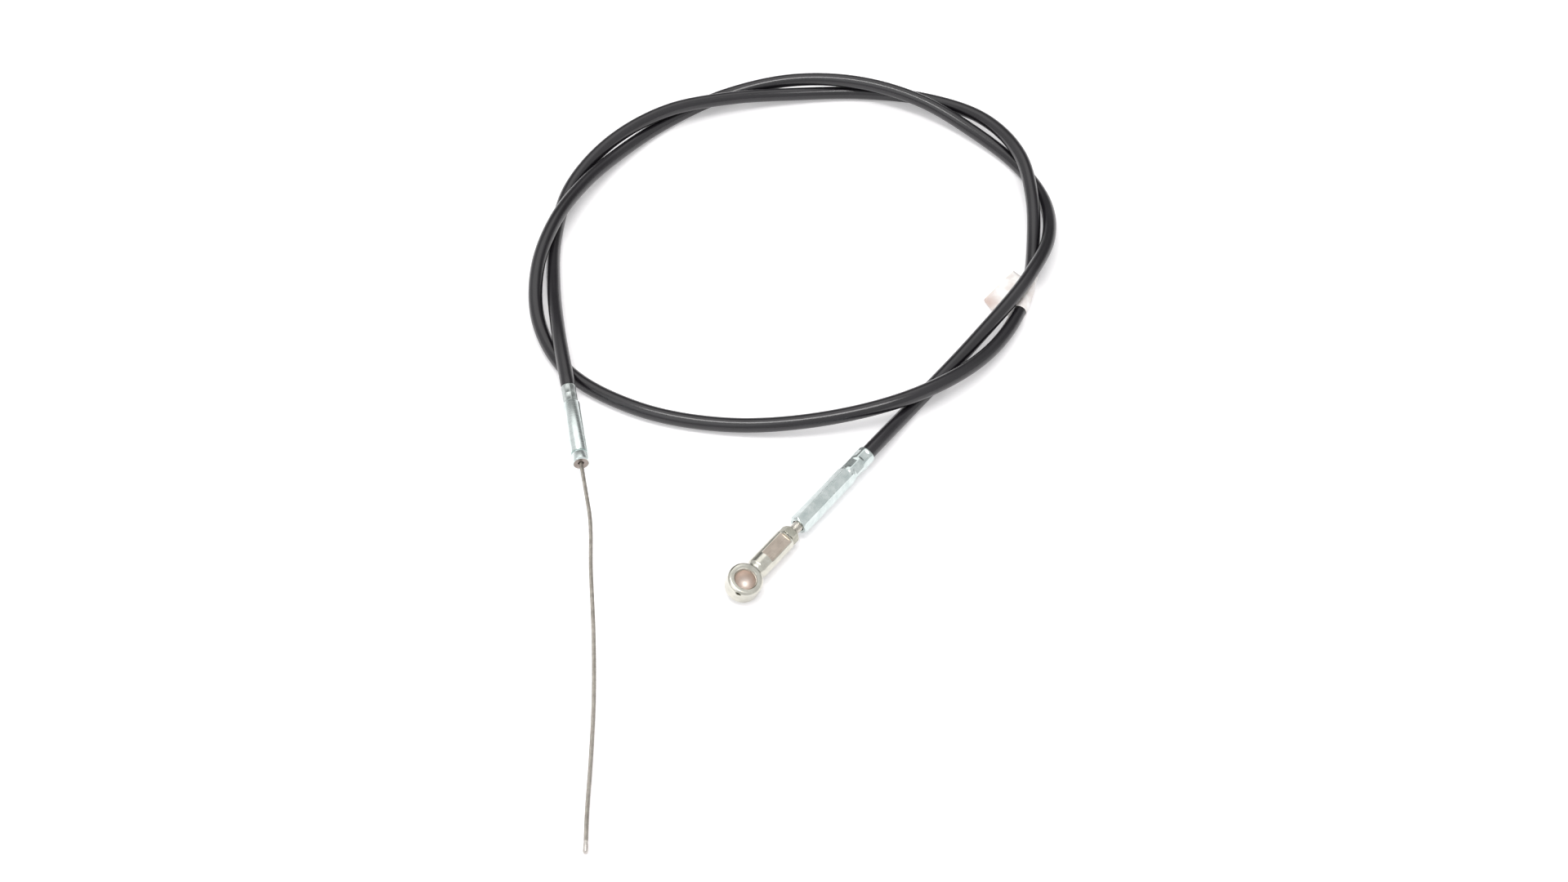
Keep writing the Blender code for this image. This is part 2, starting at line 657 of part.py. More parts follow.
def make_label(line):
    """Tape wrapped round the jacket, with its two ends joined as a flag towards the loop's inside."""
    inside = JACKET_OUTSIDE + GAP
    outside = inside + LABEL_THICKNESS
    points = part_of(tube_points(line, -GAP, JACKET_GRIP), LABEL_START, LABEL_START + LABEL_LENGTH)
    wrap = hollow_tube("label_wrap", points, outside, inside, LABEL_SIDES)
    bpy.context.view_layer.update()
    shape = bpy.data.meshes.new_from_object(
        wrap.evaluated_get(bpy.context.evaluated_depsgraph_get())
    )
    bpy.data.objects.remove(wrap)
    label = bpy.data.objects.new("label", shape)
    parts.objects.link(label)
    middle = (points[0] + points[-1]) / 2
    along = (points[-1] - points[0]).normalized()
    up = Vector((0, 0, 1)) - along * along.z
    up.normalize()
    across = up.cross(along)
    frame = Matrix((
        (along.x, across.x, up.x, middle.x),
        (along.y, across.y, up.y, middle.y),
        (along.z, across.z, up.z, middle.z),
        (0, 0, 0, 1),
    ))
    outline = bpy.data.curves.new("flag", "CURVE")
    outline.dimensions = "2D"
    outline.fill_mode = "BOTH"
    outline.extrude = FLAG_THICKNESS / 2
    spline = outline.splines.new("POLY")
    half = LABEL_LENGTH / 2 - GAP
    corners = [
        (-half, 0.0), (-half - FLAG_LEAN, -FLAG_REACH / 2), (half - FLAG_CORNER, -FLAG_REACH),
        (half, FLAG_CORNER - FLAG_REACH), (half, 0.0),
    ]
    spline.points.add(len(corners) - 1)
    for slot, (x, y) in zip(spline.points, corners):
        slot.co = (x, y, 0.0, 1.0)
    spline.use_cyclic_u = True
    guide = bpy.data.objects.new("flag", outline)
    cutters.objects.link(guide)
    bpy.context.view_layer.update()
    mesh = bpy.data.meshes.new_from_object(
        guide.evaluated_get(bpy.context.evaluated_depsgraph_get())
    )
    bpy.data.objects.remove(guide)
    work = bmesh.new()
    work.from_mesh(mesh)
    bmesh.ops.remove_doubles(work, verts=work.verts, dist=MERGE_DISTANCE)
    work.to_mesh(mesh)
    work.free()
    drop = inside + FLAG_THICKNESS / 2
    mesh.transform(frame @ Matrix.Translation((0, 0, -drop)))
    flag = bpy.data.objects.new("label_flag", mesh)
    cutters.objects.link(flag)
    combine(label, flag, "UNION")
    label.data.materials.append(material("label_tape", (0.82, 0.84, 0.80), 0.55, 0.0))


def make_frame(name, position, out, roll):
    frame = bpy.data.objects.new(name, None)
    frame.empty_display_size = 0.01
    parts.objects.link(frame)
    frame.location = position
    turn = out.to_track_quat("X", "Z").to_matrix().to_4x4()
    spin = Matrix.Rotation(radians(roll), 4, "X")
    frame.rotation_euler = (turn @ spin).to_euler()
    bpy.context.view_layer.update()
    return frame


clear_scene()
parts = make_collection("throttle_cable")
cutters = make_collection("cutters")
middle_line = conduit_line()
engine_frame = make_frame("engine_frame", middle_line[0], ENGINE_OUT, 0.0)
lever_frame = make_frame("lever_frame", middle_line[-1], LEVER_OUT, -LEVER_ROLL)
make_conduit(middle_line)
make_engine_ferrule()
make_bare_wire()
make_lever_ferrule()
make_rod_and_nut()
make_socket()
make_label(middle_line)
bpy.context.view_layer.update()
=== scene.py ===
"""Looks of the throttle cable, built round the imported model: jacket, ferrules, rod, nut, ball
socket, stranded wire and label, on a plain white floor in soft light.

+Z up, in the model's own frame. The middle lines, the camera, the lamps and the floor are in
metres. The sizes of jacket, wire, fittings and label are in millimetres, and places along a
fitting are counted from the end of the jacket's middle line, away from the jacket.
"""

from math import cos, hypot, pi, radians, sin, sqrt

import bmesh
import bpy
import numpy as np
from mathutils import Matrix, Vector


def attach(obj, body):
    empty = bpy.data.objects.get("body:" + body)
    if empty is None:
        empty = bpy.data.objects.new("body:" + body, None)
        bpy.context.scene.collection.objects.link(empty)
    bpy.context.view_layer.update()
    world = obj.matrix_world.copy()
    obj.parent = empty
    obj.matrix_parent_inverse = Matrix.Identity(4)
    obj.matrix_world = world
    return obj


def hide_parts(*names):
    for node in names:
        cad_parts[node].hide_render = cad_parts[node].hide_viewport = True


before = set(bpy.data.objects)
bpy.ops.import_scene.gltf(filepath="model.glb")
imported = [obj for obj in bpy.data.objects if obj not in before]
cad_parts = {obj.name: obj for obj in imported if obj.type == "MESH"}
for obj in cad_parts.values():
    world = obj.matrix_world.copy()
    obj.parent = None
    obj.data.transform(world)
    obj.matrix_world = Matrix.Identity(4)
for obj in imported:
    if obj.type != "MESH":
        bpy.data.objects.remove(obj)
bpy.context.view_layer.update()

MM = 0.001

# Middle line of the jacket as it lies, from the engine-end ferrule to the lever-end one
ROUTE = [
    (-0.1085, 0.0005, 0.0113), (-0.116, 0.036, 0.0108), (-0.122, 0.0735, 0.0064),
    (-0.1245, 0.1115, 0.0037), (-0.119, 0.148, 0.0056), (-0.0995, 0.1795, 0.0095),
    (-0.0705, 0.2025, 0.0116), (-0.0355, 0.2165, 0.0091), (-0.0005, 0.2245, 0.0053),
    (0.0355, 0.2275, 0.0038), (0.072, 0.2195, 0.0057), (0.1015, 0.199, 0.0094),
    (0.119, 0.1665, 0.0116), (0.123, 0.1355, 0.0097), (0.1215, 0.1055, 0.0058),
    (0.1165, 0.0755, 0.0043), (0.094, 0.0285, 0.0072), (0.055, -0.0045, 0.0115),
    (0.0115, -0.0165, 0.0083), (-0.0345, -0.0165, 0.0042), (-0.0775, -0.0055, 0.0038),
    (-0.1135, 0.021, 0.0037), (-0.1275, 0.0495, 0.0055), (-0.1305, 0.0825, 0.0098),
    (-0.1245, 0.114, 0.0117), (-0.112, 0.146, 0.0092), (-0.094, 0.176, 0.0054),
    (-0.0715, 0.202, 0.0037), (-0.0385, 0.2235, 0.0057), (-0.0015, 0.231, 0.0099),
    (0.0365, 0.2265, 0.0115), (0.069, 0.2135, 0.0095), (0.0965, 0.1925, 0.0055),
    (0.119, 0.166, 0.0037), (0.130, 0.1365, 0.0055), (0.1285, 0.1035, 0.0099),
    (0.116, 0.0745, 0.0123), (0.0865, 0.034, 0.0080), (0.054, -0.0055, 0.0038),
    (0.0316, -0.0367, 0.0067),
]

# Middle line of the bare wire after its straight stretch
BARE_ROUTE = [
    (-0.0906, -0.1054, 0.0093), (-0.0875, -0.1374, 0.0062), (-0.0856, -0.168, 0.0035),
    (-0.0851, -0.1977, 0.0016), (-0.085, -0.2195, 0.00115), (-0.0846, -0.230, 0.00115),
]
CURVE_STEPS = 24

ENGINE_HEADING = radians(11.5)
LEVER_HEADING = radians(37.5)
LEVER_ROLL = radians(-18.0)
ENGINE_OUT = Vector((sin(ENGINE_HEADING), -cos(ENGINE_HEADING), 0.0))
LEVER_OUT = Vector((-sin(LEVER_HEADING), -cos(LEVER_HEADING), 0.0))

# Turn of a hexagon that lies with a corner to each side and a flat on top
UPRIGHT = pi / 2

# Jacket
JACKET_RADIUS = 3.5
JACKET_START = 0.3
JACKET_END_CUT = (0.35, 0.05)
JACKET_GRIP = 12.0
JACKET_RINGS = 760
JACKET_SIDES = 32

# Engine-end ferrule. Its crimps are given as half width, sides, turn and sharpness
ENGINE_NOSE = 47.5
ENGINE_COLLAR = 10.4
ENGINE_CRIMP = (3.22, 8, 0.2, 90.0)
ENGINE_COLLAR_RADIUS = 3.45
ENGINE_RADIUS = 4.05
ENGINE_MOUTH = 1.5
ENGINE_GROOVE_DEPTH = 0.7

# Bare wire
WIRE_RADIUS = 0.9
WIRE_START_DEPTH = 2.0
WIRE_STRAIGHT = 27.0
STRANDS = 12
STRAND_RADIUS = 0.187
STRAND_LAY = 15.0

# Lever-end ferrule: bores, collar with two crimps, hexagonal barrel
JACKET_POCKET = 3.8
WIRE_HOLE = 1.25
SHOULDER_START = 12.3
SHOULDER_END = 15.8
FERRULE_BORE = 2.8
COLLAR_LENGTH = 14.7
COLLAR_RADIUS = 4.45
CRIMP_FLATS = (4.10, 4.12)
CRIMPS = ((0.8, 6.8), (7.3, 14.0))
CRIMP_SPLIT = 7.0
CRIMP_EDGE = 1.2
BARREL_END = 52.4
BARREL_FLAT = 4.15
BARREL_CORNER = 4.79
BARREL_CHAMFER = 1.1

# Small dents on one ridge of the barrel: place along it, turn from the ridge, depth
BARREL_NICKS = [(24.0, 0.05, 0.05), (29.2, 0.06, 0.11), (34.3, 0.02, 0.11)]

# Pull rod and lock nut
ROD_TAIL = 16.1
ROD_RADIUS = 2.5
ROD_END = 84.75
THREAD_START = 30.0
THREAD_DEPTH = 0.42
THREAD_PITCH = 0.8
NUT_START = 57.1
NUT_END = 61.1
NUT_FLAT = 4.0

# Ball socket: shank, head, seat, ring groove and clip hole
SHANK_START = 61.4
SHANK_RADIUS = 5.0
WRENCH_FLAT = 3.8
HEAD_CENTRE = 91.4
HEAD_RADIUS = 7.9
HEAD_TOP = 4.6
HEAD_CHAMFER = 0.9
NECK_TAPER = 1.8
NECK_RADIUS = 4.3
BORE_RADIUS = 2.8
SEAT_RADIUS = 5.05
SEAT_CENTRE = 2.3
MOUTH_RADIUS = 4.8
RING_HEIGHT = 3.1
RING_RADIUS = 4.9
RING_WIRE = 0.45
RING_OPENING = radians(24.0)
GROOVE_HALF_WIDTH = 0.75
GROOVE_RADIUS = 5.65
CLIP_TURN = radians(15.0)

# Label. The outer edge of its flag is given along the jacket, from the label's middle, and
# away from the jacket. The place of the painted shadow on the flag is in metres
LABEL_START = 532.0
LABEL_LENGTH = 26.0
LABEL_GAP = 0.12
TAPE_THICKNESS = 0.09
FLAG_HALF_GAP = 0.10
FLAG_HEIGHT = 0.45
FLAG_RISE = 0.9
FLAG_EDGE = [(-17.8, 9.6), (7.0, 19.2), (13.0, 13.4)]
LOWEST = 0.15
# Painted shadow on the flag: its darkest place, its strength there, and the distances over which it
# fades out
FLAG_SHADOW_SPOT = (0.0951, 0.0663, 0.0006)
SHADOW_SHARE = 0.95
SHADOW_REACH = (0.003, 0.0125)

# Texture length that one millimetre along a piece takes up
UV_PER_MM = 0.01

CAMERA_PLACE = (-0.0065, -0.5609, 0.6410)
CAMERA_PITCH = radians(40.0)
SENSOR_WIDTH = 36.0
LENS = 40.93
NEAREST, FARTHEST = 0.01, 20.0

# Each lamp looks at the origin: name, place, width, height, watts, colour
LAMPS = [
    ("key", (-0.05, -0.12, 1.30), 0.95, 0.28, 7.8, (1.0, 0.99, 0.98)),
    ("back", (-0.25, 0.75, 1.35), 1.6, 1.0, 3.2, (1.0, 0.99, 0.97)),
    ("fill", (-0.8, -0.8, 1.2), 1.2, 1.2, 3.5, (0.98, 0.99, 1.0)),
]
WORLD_LEVEL = 0.86
ROOM = (0.93, 0.93, 0.935)

# Tones of the room behind the object, from the horizon (0) to straight up (1). A ray counts
# as coming from there by its x and y, with a soft edge
ROOM_BEHIND = [
    (0.0, (0.93, 0.93, 0.93)), (0.12, (0.90, 0.90, 0.90)), (0.20, (0.24, 0.24, 0.24)),
    (0.58, (0.27, 0.27, 0.27)), (0.74, (0.90, 0.90, 0.91)), (1.0, (0.95, 0.95, 0.96)),
]
BEHIND = (0.30, 0.954)
BEHIND_EDGE = (0.35, 0.65)
FLOOR_SIZE = 4.0
FLOOR_DROP = 0.0001
FLOOR_COLOUR = (0.86, 0.85, 0.86, 1)
FLOOR_GLOW = 0.27
FLOOR_GLOW_COLOUR = (1.0, 0.995, 1.0, 1)

# Darker and lighter tone of each surface
JACKET_TONES = ((0.0068, 0.0060, 0.0078), (0.0118, 0.0105, 0.0132))
ENGINE_ZINC = ((0.66, 0.735, 0.72), (0.79, 0.85, 0.835))
COLLAR_ZINC = ((0.44, 0.475, 0.465), (0.56, 0.60, 0.585))
NOSE_STEEL = ((0.27, 0.235, 0.21), (0.38, 0.335, 0.305))
LEVER_ZINC = ((0.54, 0.61, 0.597), (0.69, 0.75, 0.737))
ROD_STEEL = ((0.55, 0.53, 0.48), (0.69, 0.67, 0.62))
NUT_STEEL = ((0.34, 0.335, 0.28), (0.46, 0.455, 0.39))
SOCKET_STEEL = ((0.55, 0.54, 0.475), (0.67, 0.66, 0.59))
# The wrench flats' darker, browner tone is painted shade
WRENCH_FLAT_SHADED_STEEL = ((0.43, 0.37, 0.315), (0.56, 0.49, 0.42))
SEAT_STEEL = ((0.72, 0.63, 0.57), (0.82, 0.73, 0.67))
RING_STEEL = ((0.42, 0.37, 0.31), (0.58, 0.52, 0.45))
STRAND_STEEL = ((0.32, 0.30, 0.265), (0.49, 0.46, 0.415))
FUSED_STEEL = ((0.52, 0.49, 0.46), (0.68, 0.65, 0.61))
HIDDEN_WIRE_STEEL = ((0.34, 0.32, 0.30), (0.50, 0.47, 0.44))
SPIRAL_STEEL = ((0.36, 0.36, 0.35), (0.50, 0.50, 0.48))
LINER_TONES = ((0.74, 0.74, 0.69), (0.82, 0.82, 0.78))
TAPE_TONES = ((0.80, 0.75, 0.72), (0.94, 0.935, 0.92))
# Colour of the painted shadow on the flag
SHADOW_TONE = (0.64, 0.50, 0.45)

# Scale of the tool marks along a piece and round it
DRAWN = (10.0, 110.0, 1.0)
TURNED = (600.0, 1.5, 1.0)
THREADED = (20.0, 30.0, 1.0)
MILLED = (40.0, 12.0, 1.0)
COILED = (30.0, 8.0, 1.0)
DRAGGED = (5.0, 14.0, 1.0)


# Node trees

class Nodes:
    """Short way to write a node tree."""

    def __init__(self, tree):
        self.tree = tree

    def add(self, kind, **values):
        node = self.tree.nodes.new(kind)
        for key, value in values.items():
            setattr(node, key, value)
        return node

    def link(self, a, b):
        self.tree.links.new(a, b)

    def math(self, operation, a, b):
        node = self.add("ShaderNodeMath", operation=operation)
        for socket, value in zip(node.inputs, (a, b)):
            if isinstance(value, float):
                socket.default_value = value
            else:
                self.link(value, socket)
        return node.outputs[0]

    def stretched(self, source, scale):
        node = self.add("ShaderNodeMapping")
        node.inputs["Scale"].default_value = scale
        self.link(source, node.inputs["Vector"])
        return node.outputs[0]

    def noise(self, where, scale, detail=3.0, rough=0.55):
        node = self.add("ShaderNodeTexNoise")
        node.inputs["Scale"].default_value = scale
        node.inputs["Detail"].default_value = detail
        node.inputs["Roughness"].default_value = rough
        self.link(where, node.inputs["Vector"])
        return node.outputs["Fac"]

    def ramp(self, value, stops):
        node = self.add("ShaderNodeValToRGB")
        marks = node.color_ramp.elements
        for mark, (position, colour) in zip((marks[0], marks[1]), (stops[0], stops[-1])):
            mark.position = position
            mark.color = (*colour, 1)
        for position, colour in stops[1:-1]:
            marks.new(position).color = (*colour, 1)
        self.link(value, node.inputs[0])
        return node.outputs[0]

    def tones(self, value, pair, from_low=0.3, from_high=0.7):
        return self.ramp(value, [(from_low, pair[0]), (from_high, pair[1])])

    def spread(self, value, low, high, from_low=0.3, from_high=0.7):
        node = self.add("ShaderNodeMapRange")
        node.inputs["From Min"].default_value = from_low
        node.inputs["From Max"].default_value = from_high
        node.inputs["To Min"].default_value = low
        node.inputs["To Max"].default_value = high
        self.link(value, node.inputs["Value"])
        return node.outputs[0]

    def mix(self, share, a, b):
        node = self.add("ShaderNodeMix", data_type="RGBA")
        self.link(share, node.inputs["Factor"])
        for name, value in (("A", a), ("B", b)):
            socket = [s for s in node.inputs if s.name == name and s.type == "RGBA"][0]
            if isinstance(value, tuple):
                socket.default_value = (*value, 1)
            else:
                self.link(value, socket)
        return [s for s in node.outputs if s.type == "RGBA"][0]


class Surface(Nodes):
    """A material with its Principled shader and its texture coordinates."""

    def __init__(self, name):
        self.material = bpy.data.materials.new(name)
        self.material.use_nodes = True
        super().__init__(self.material.node_tree)
        self.shader = self.tree.nodes["Principled BSDF"]
        places = self.add("ShaderNodeTexCoord").outputs
        self.uv = places["UV"]
        self.object = places["Object"]

    def feed(self, value, name):
        self.link(value, self.shader.inputs[name])

    def bump(self, height, strength, distance):
        node = self.add("ShaderNodeBump")
        node.inputs["Strength"].default_value = strength
        node.inputs["Distance"].default_value = distance
        self.link(height, node.inputs["Height"])
        self.feed(node.outputs[0], "Normal")


# Camera, light and floor

def linked(made):
    bpy.context.scene.collection.objects.link(made)
    return made


def make_camera():
    data = bpy.data.cameras.new("camera")
    data.sensor_fit = "HORIZONTAL"
    data.sensor_width = SENSOR_WIDTH
    data.lens = LENS
    data.clip_start = NEAREST
    data.clip_end = FARTHEST
    camera = linked(bpy.data.objects.new("camera", data))
    camera.location = CAMERA_PLACE
    camera.rotation_euler = (CAMERA_PITCH, 0.0, 0.0)
    bpy.context.scene.camera = camera


def area_light(name, position, width, height, power, colour):
    data = bpy.data.lights.new(name, "AREA")
    data.shape = "RECTANGLE"
    data.size = width
    data.size_y = height
    data.energy = power
    data.color = colour
    lamp = linked(bpy.data.objects.new(name, data))
    lamp.location = position
    lamp.rotation_euler = (-Vector(position)).to_track_quat("-Z", "Y").to_euler()


def make_world():
    """A bright room with one darker stretch low down behind the object."""
    world = bpy.data.worlds.new("studio")
    bpy.context.scene.world = world
    world.use_nodes = True
    made = Nodes(world.node_tree)
    made.tree.nodes.clear()
    ray = made.add("ShaderNodeTexCoord")
    split = made.add("ShaderNodeSeparateXYZ")
    made.link(ray.outputs["Generated"], split.inputs[0])
    right = made.math("MULTIPLY", split.outputs["X"], BEHIND[0])
    back = made.math("MULTIPLY", split.outputs["Y"], BEHIND[1])
    share = made.spread(made.math("ADD", right, back), 0.0, 1.0, *BEHIND_EDGE)
    band = made.ramp(split.outputs["Z"], ROOM_BEHIND)
    glow = made.add("ShaderNodeBackground")
    made.link(made.mix(share, ROOM, band), glow.inputs["Color"])
    glow.inputs["Strength"].default_value = WORLD_LEVEL
    made.link(glow.outputs[0], made.add("ShaderNodeOutputWorld").inputs[0])


def make_floor():
    mesh = bpy.data.meshes.new("floor")
    work = bmesh.new()
    bmesh.ops.create_grid(work, x_segments=1, y_segments=1, size=FLOOR_SIZE)
    work.to_mesh(mesh)
    work.free()
    floor = linked(bpy.data.objects.new("floor", mesh))
    floor.location = (0, 0, -FLOOR_DROP)
    white = bpy.data.materials.new("floor_white")
    white.use_nodes = True
    made = Nodes(white.node_tree)
    made.tree.nodes.clear()
    diffuse = made.add("ShaderNodeBsdfDiffuse")
    diffuse.inputs["Color"].default_value = FLOOR_COLOUR
    glow = made.add("ShaderNodeEmission")
    glow.inputs["Color"].default_value = FLOOR_GLOW_COLOUR
    path = made.add("ShaderNodeLightPath")
    seen = made.math("ADD", path.outputs["Is Camera Ray"], path.outputs["Is Glossy Ray"])
    seen = made.math("ADD", seen, path.outputs["Is Transmission Ray"])
    made.link(made.math("MULTIPLY", seen, FLOOR_GLOW), glow.inputs["Strength"])
    both = made.add("ShaderNodeAddShader")
    made.link(diffuse.outputs[0], both.inputs[0])
    made.link(glow.outputs[0], both.inputs[1])
    made.link(both.outputs[0], made.add("ShaderNodeOutputMaterial").inputs[0])
    mesh.materials.append(white)


# Materials

def jacket_material():
    """Black plastic with a soft gloss and faint lengthwise drag marks."""
    made = Surface("jacket_plastic")
    streak = made.noise(made.stretched(made.uv, DRAGGED), 1.0, 3.0)
    grain = made.noise(made.object, 2600.0, 2.0)
    patch = made.noise(made.object, 55.0)
    made.feed(made.tones(patch, JACKET_TONES), "Base Color")
    made.feed(made.spread(streak, 0.19, 0.27), "Roughness")
    made.shader.inputs["Specular IOR Level"].default_value = 0.65
    made.bump(made.math("ADD", made.math("MULTIPLY", grain, 0.15), streak), 0.10, 0.00004)
    return made.material


def metal(name, tones, rough, marks, depth=0.14):
    """Plated metal: cloudy tone, fine tool marks and slightly uneven gloss."""
    made = Surface(name)
    cloud = made.noise(made.object, 260.0, 4.0)
    made.feed(made.tones(cloud, tones, 0.32, 0.68), "Base Color")
    made.shader.inputs["Metallic"].default_value = 1.0
    lines = made.noise(made.stretched(made.uv, marks), 1.0, 4.0, 0.6)
    made.feed(made.spread(lines, rough - 0.04, rough + 0.06), "Roughness")
    made.bump(lines, depth, 0.00003)
    return made.material


def wire_metal(name, tones):
    """Bare steel wire, a little dulled by grease."""
    made = Surface(name)
    patch = made.noise(made.object, 420.0)
    made.feed(made.tones(patch, tones), "Base Color")
    made.shader.inputs["Metallic"].default_value = 0.85
    made.feed(made.spread(patch, 0.36, 0.48), "Roughness")
    return made.material


def tape():
    """Pale paper tape with faint beige patches, and a painted shadow at one corner of the flag."""
    made = Surface("label_tape")
    fibre = made.noise(made.object, 900.0, 5.0, 0.6)
    cloud = made.noise(made.object, 150.0, 2.0)
    tape_tone = made.tones(cloud, TAPE_TONES, 0.38, 0.58)
    # Painted shadow: the tape darkens towards one spot at a corner of the flag, with a ragged edge
    gap = made.add("ShaderNodeVectorMath", operation="DISTANCE")
    made.link(made.object, gap.inputs[0])
    gap.inputs[1].default_value = FLAG_SHADOW_SPOT
    away = made.math("ADD", gap.outputs["Value"], made.math("MULTIPLY", cloud, 0.004))
    painted_shadow = made.spread(away, SHADOW_SHARE, 0.0, *SHADOW_REACH)
    made.feed(made.mix(painted_shadow, tape_tone, SHADOW_TONE), "Base Color")
    made.feed(made.spread(fibre, 0.45, 0.58), "Roughness")
    made.bump(fibre, 0.15, 0.00004)
    return made.material


# Meshes

def solid_from_rings(name, rings, closed=True):
    """Mesh from an array of rings (ring, step, xyz). A closed one joins its last ring to its
    first, an open one gets flat caps. U runs along the piece and V once round it."""
    rings = np.asarray(rings)
    count, steps = rings.shape[:2]
    mesh = bpy.data.meshes.new(name)
    work = bmesh.new()
    spots = [[work.verts.new(p) for p in ring] for ring in rings]
    uv = work.loops.layers.uv.new("UVMap")
    lengths = running(rings.mean(axis=1))
    for i in range(count if closed else count - 1):
        k = (i + 1) % count
        near = lengths[i] / MM * UV_PER_MM
        far = (lengths[k] if k else lengths[i]) / MM * UV_PER_MM
        for j in range(steps):
            m = (j + 1) % steps
            face = work.faces.new((spots[i][j], spots[k][j], spots[k][m], spots[i][m]))
            face.smooth = True
            low, high = j / steps, (j + 1) / steps
            for loop, mark in zip(face.loops, ((near, low), (far, low), (far, high), (near, high))):
                loop[uv].uv = mark
    if not closed:
        work.faces.new(spots[0])
        work.faces.new(list(reversed(spots[-1])))
    bmesh.ops.recalc_face_normals(work, faces=work.faces)
    work.to_mesh(mesh)
    work.free()
    return mesh


def add_object(name, mesh, material, sharp=30.0):
    mesh.set_sharp_from_angle(angle=radians(sharp))
    made = linked(bpy.data.objects.new(name, mesh))
    mesh.materials.clear()
    mesh.materials.append(material)
    return made


def bind(made, body, node):
    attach(made, body)
    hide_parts(node)


def paint(made, matrix, looks, choose):
    """Gives each face the look whose number choose returns for its middle, in millimetres in
    the frame of the matrix, and its normal there."""
    for look in looks:
        made.data.materials.append(look)
    inverse = matrix.inverted()
    turn = inverse.to_3x3()
    for polygon in made.data.polygons:
        spot = (inverse @ polygon.center) / MM
        polygon.material_index = choose(spot, turn @ polygon.normal)


def around(steps):
    return np.arange(steps) * 2 * pi / steps


def axis_rings(stations, steps, matrix):
    """Rings about the local X axis. Each station is (x, radius) in millimetres, with one radius
    or one for each step."""
    angle = around(steps)
    out = np.empty((len(stations), steps, 3))
    for i, (x, radius) in enumerate(stations):
        out[i, :, 0] = x * MM
        out[i, :, 1] = radius * MM * np.cos(angle)
        out[i, :, 2] = radius * MM * np.sin(angle)
    turn = np.array(matrix)
    return out @ turn[:3, :3].T + turn[:3, 3]


def polygon_radius(angle, flat, sides, turn, sharpness=60.0):
    """Distance to the side of a regular polygon with slightly rounded corners."""
    total = np.zeros_like(angle)
    for k in range(sides):
        toward = np.cos(angle - turn - 2 * pi * k / sides)
        total += np.maximum(toward, 0.0) ** sharpness
    return flat * total ** (-1.0 / sharpness)


def blend(a, b, share):
    share = np.clip(share, 0.0, 1.0)
    share = share * share * (3 - 2 * share)
    return a * (1 - share) + b * share


def smooth_line(points, first, last, steps):
    """Smooth curve through the points, leaving and arriving in the given directions."""
    points = np.array(points, float)
    gaps = np.linalg.norm(np.diff(points, axis=0), axis=1)
    heading = np.empty_like(points)
    heading[0], heading[-1] = np.array(first), np.array(last)
    before, after = gaps[:-1, None], gaps[1:, None]
    back = (points[1:-1] - points[:-2]) / before
    ahead = (points[2:] - points[1:-1]) / after
    heading[1:-1] = (back * after + ahead * before) / (before + after)
    u = (np.arange(steps) / steps)[None, :, None]
    gap = gaps[:, None, None]
    line = (
        (2 * u**3 - 3 * u**2 + 1) * points[:-1, None]
        + (u**3 - 2 * u**2 + u) * gap * heading[:-1, None]
        + (3 * u**2 - 2 * u**3) * points[1:, None]
        + (u**3 - u**2) * gap * heading[1:, None]
    )
    return np.vstack([line.reshape(-1, 3), points[-1:]])


def running(line):
    return np.concatenate([[0.0], np.cumsum(np.linalg.norm(np.diff(line, axis=0), axis=1))])


def resample(line, start, end, count):
    length = running(line)
    at = np.linspace(start, end, count)
    return np.column_stack([np.interp(at, length, line[:, k]) for k in range(3)])


def side_and_up(line):
    """Side and up vectors along a line that is never upright."""
    ahead = np.gradient(line, axis=0)
    ahead /= np.linalg.norm(ahead, axis=1)[:, None]
    side = np.cross(ahead, (0.0, 0.0, 1.0))
    side /= np.linalg.norm(side, axis=1)[:, None]
    return side, np.cross(side, ahead)


def tube_rings(line, radius, sides):
    side, up = side_and_up(line)
    angle = around(sides)
    radius = np.broadcast_to(radius, (len(line),)) * MM
    across = np.cos(angle)[None, :, None] * side[:, None]
    upward = np.sin(angle)[None, :, None] * up[:, None]
    return line[:, None] + radius[:, None, None] * (across + upward)


def fitting_matrix(position, out, roll):
    turn = Vector(out).to_track_quat("X", "Z").to_matrix().to_4x4()
    return Matrix.Translation(position) @ turn @ Matrix.Rotation(roll, 4, "X")


# The conduit

route_line = smooth_line(ROUTE, -ENGINE_OUT, LEVER_OUT, CURVE_STEPS)
engine_frame = fitting_matrix(Vector(ROUTE[0]), ENGINE_OUT, 0.0)
lever_frame = fitting_matrix(Vector(ROUTE[-1]), LEVER_OUT, LEVER_ROLL)


def make_jacket():
    total = running(route_line)[-1]
    line = resample(route_line, JACKET_START * MM, total, JACKET_RINGS)
    inside = [line[-1] + np.array(LEVER_OUT) * JACKET_GRIP * MM * k / 4 for k in (1, 2, 3, 4)]
    line = np.vstack([line, inside])
    radius = np.full(len(line), JACKET_RADIUS)
    radius[:2] -= JACKET_END_CUT
    mesh = solid_from_rings("jacket", tube_rings(line, radius, JACKET_SIDES), closed=False)
    jacket = add_object("jacket", mesh, jacket_material(), 50.0)
    bind(jacket, "conduit", "outer_jacket")


# The engine-end ferrule

